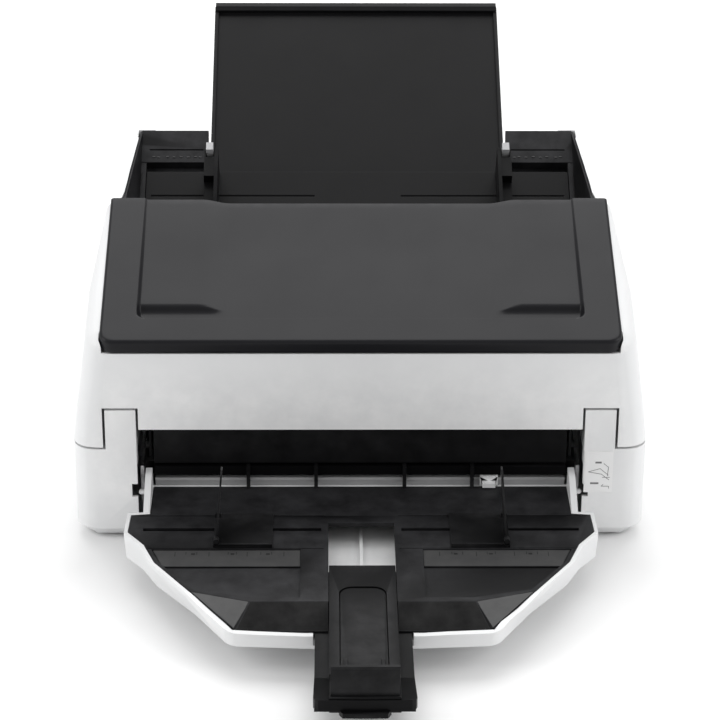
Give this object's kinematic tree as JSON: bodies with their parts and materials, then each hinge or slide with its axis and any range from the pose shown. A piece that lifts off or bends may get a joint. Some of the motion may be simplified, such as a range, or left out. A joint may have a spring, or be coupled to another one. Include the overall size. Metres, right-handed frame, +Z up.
{
  "type": "sheet fed document scanner",
  "caption": "Sheet fed document scanner with a lifting feeder cover, sloping paper chute with side guides and extension, feed rollers, and a front stacker tray with folding stoppers.",
  "frame": {"origin": "centre of the overall footprint, at the height the rubber feet stand on", "axes": "+X to the operator's right, +Y from the stacker tray at the front to the paper chute at the rear, +Z up"},
  "size_m": [0.439, 0.7436, 0.2937],
  "materials": {
    "white_plastic": "fine satin texture",
    "black_plastic": "satin",
    "textured_black_plastic": "fine spark-eroded texture",
    "light_grey_plastic": "satin",
    "rubber": "matt",
    "steel": "satin",
    "scan_glass": "clear",
    "circuit_board": "solder resist",
    "label_film": "semi-gloss film"
  },
  "bodies": {
    "lower_body": {"base_plate": "white_plastic", "left_side_cover": "white_plastic", "right_side_cover": "white_plastic", "rear_cover": "white_plastic", "left_side_frame": "steel", "right_side_frame": "steel", "left_hinge_bracket": "steel", "right_hinge_bracket": "steel", "left_rear_screw": "steel", "right_rear_screw": "steel", "front_left_foot": "rubber", "rear_left_foot": "rubber", "front_right_foot": "rubber", "rear_right_foot": "rubber", "hopper_base": "textured_black_plastic", "front_lower_panel": "light_grey_plastic", "lower_paper_guide": "black_plastic", "lower_scan_unit": "black_plastic", "lower_scan_glass": "scan_glass", "drive_motor": "steel", "drive_belt": "rubber", "main_board": "circuit_board", "power_inlet": "black_plastic", "usb_port": "steel", "guide_label": "label_film"},
    "feeder_cover": {"upper_cover": "white_plastic", "top_cover": "textured_black_plastic", "upper_paper_guide": "black_plastic", "upper_scan_unit": "black_plastic", "upper_scan_glass": "scan_glass", "left_upper_side_plate": "black_plastic", "right_upper_side_plate": "black_plastic"},
    "feed_roller": {"feed_roller_shaft": "steel", "feed_roller_sleeve": "rubber"},
    "pick_roller": {"pick_roller_shaft": "steel", "pick_roller_sleeve": "rubber"},
    "brake_roller": {"brake_roller_shaft": "steel", "brake_roller_sleeve": "rubber"},
    "lower_eject": {"lower_eject_roller": "rubber"},
    "upper_eject": {"upper_eject_roller": "rubber"},
    "motor_rotor": {"motor_pulley": "steel"},
    "lifting_table": {"hopper_table": "textured_black_plastic"},
    "left_guide": {"left_paper_guide": "black_plastic"},
    "right_guide": {"right_paper_guide": "black_plastic"},
    "left_lock": {"left_guide_lock": "light_grey_plastic"},
    "right_lock": {"right_guide_lock": "light_grey_plastic"},
    "chute_extension": {"hopper_extension": "textured_black_plastic"},
    "stacker": {"stacker_shell": "white_plastic", "stacker_plate": "textured_black_plastic"},
    "stacker_slider": {"stacker_extension": "black_plastic"},
    "arch_stopper": {"middle_stopper": "black_plastic"},
    "front_stopper": {"end_stopper": "black_plastic"},
    "left_stack_slider": {"left_stack_guide": "black_plastic"},
    "right_stack_slider": {"right_stack_guide": "black_plastic"},
    "left_paddle": {"left_stack_paddle": "black_plastic"},
    "right_paddle": {"right_stack_paddle": "black_plastic"},
    "selector": {"exit_selector": "white_plastic"},
    "rocker": {"power_switch": "black_plastic"}
  },
  "joints": [
    {"name": "feeder_cover_hinge", "type": "hinge", "parent": "lower_body", "child": "feeder_cover", "pos_m": [0, 0.08569, 0.2115], "axis": [-1, 0, 0], "range_deg": [0, 60]},
    {"name": "feed_roller_spin", "type": "hinge", "parent": "lower_body", "child": "feed_roller", "pos_m": [0, 0.02309, 0.0794], "axis": [1, 0, 0], "continuous": true},
    {"name": "pick_roller_spin", "type": "hinge", "parent": "feeder_cover", "child": "pick_roller", "pos_m": [0, 0.03629, 0.1165], "axis": [1, 0, 0], "continuous": true},
    {"name": "brake_roller_spin", "type": "hinge", "parent": "feeder_cover", "child": "brake_roller", "pos_m": [0, 0.01209, 0.1011], "axis": [1, 0, 0], "continuous": true},
    {"name": "lower_eject_spin", "type": "hinge", "parent": "lower_body", "child": "lower_eject", "pos_m": [0, -0.04451, 0.0543], "axis": [1, 0, 0], "continuous": true},
    {"name": "upper_eject_spin", "type": "hinge", "parent": "feeder_cover", "child": "upper_eject", "pos_m": [0, -0.05221, 0.0719], "axis": [1, 0, 0], "continuous": true},
    {"name": "motor_spin", "type": "hinge", "parent": "lower_body", "child": "motor_rotor", "pos_m": [0, 0.05369, 0.0485], "axis": [1, 0, 0], "continuous": true},
    {"name": "hopper_table_lift", "type": "hinge", "parent": "lower_body", "child": "lifting_table", "pos_m": [0, 0.20133, 0.1945], "axis": [-1, 0, 0], "range_deg": [0, 4]},
    {"name": "left_guide_slide", "type": "slide", "parent": "lifting_table", "child": "left_guide", "axis": [1, 0, 0], "range_m": [-0.03, 0.075]},
    {"name": "right_guide_slide", "type": "slide", "parent": "lifting_table", "child": "right_guide", "axis": [-1, 0, 0], "range_m": [-0.03, 0.075]},
    {"name": "left_lock_slide", "type": "slide", "parent": "left_guide", "child": "left_lock", "axis": [0, 0.8634, 0.5045], "range_m": [-0.004, 0]},
    {"name": "right_lock_slide", "type": "slide", "parent": "right_guide", "child": "right_lock", "axis": [0, 0.8634, 0.5045], "range_m": [-0.004, 0]},
    {"name": "chute_extension_slide", "type": "slide", "parent": "lower_body", "child": "chute_extension", "axis": [0, 0.8634, 0.5045], "range_m": [-0.11, 0]},
    {"name": "stacker_tilt", "type": "hinge", "parent": "lower_body", "child": "stacker", "pos_m": [0, -0.06931, 0.0395], "axis": [-1, 0, 0], "range_deg": [0, 12]},
    {"name": "stacker_extension_slide", "type": "slide", "parent": "stacker", "child": "stacker_slider", "axis": [0, 1, 0], "range_m": [0, 0.056]},
    {"name": "arch_stopper_fold", "type": "hinge", "parent": "stacker_slider", "child": "arch_stopper", "pos_m": [0, -0.32681, 0.04], "axis": [1, 0, 0], "range_deg": [0, 100]},
    {"name": "front_stopper_fold", "type": "hinge", "parent": "stacker_slider", "child": "front_stopper", "pos_m": [0, -0.36371, 0.0407], "axis": [-1, 0, 0], "range_deg": [0, 88]},
    {"name": "left_stack_guide_slide", "type": "slide", "parent": "stacker", "child": "left_stack_slider", "axis": [1, 0, 0], "range_m": [-0.044, 0.034]},
    {"name": "right_stack_guide_slide", "type": "slide", "parent": "stacker", "child": "right_stack_slider", "axis": [-1, 0, 0], "range_m": [-0.044, 0.034]},
    {"name": "left_paddle_fold", "type": "hinge", "parent": "left_stack_slider", "child": "left_paddle", "pos_m": [-0.1074, -0.13731, 0.0453], "axis": [0, 1, 0], "range_deg": [0, 78]},
    {"name": "right_paddle_fold", "type": "hinge", "parent": "right_stack_slider", "child": "right_paddle", "pos_m": [0.1074, -0.13731, 0.0453], "axis": [0, -1, 0], "range_deg": [0, 78]},
    {"name": "exit_selector_slide", "type": "slide", "parent": "lower_body", "child": "selector", "axis": [1, 0, 0], "range_m": [-0.004, 0.012]},
    {"name": "power_switch_rock", "type": "hinge", "parent": "lower_body", "child": "rocker", "pos_m": [0.1025, 0.23919, 0.0355], "axis": [1, 0, 0], "range_deg": [-7, 7]}
  ],
  "couplings": [
    {"joint": "pick_roller_spin", "follows": "feed_roller_spin", "ratio": -0.85714},
    {"joint": "brake_roller_spin", "follows": "feed_roller_spin", "ratio": -1},
    {"joint": "lower_eject_spin", "follows": "feed_roller_spin", "ratio": 1.3333},
    {"joint": "upper_eject_spin", "follows": "feed_roller_spin", "ratio": -1.3333},
    {"joint": "motor_spin", "follows": "feed_roller_spin", "ratio": 1.5}
  ]
}
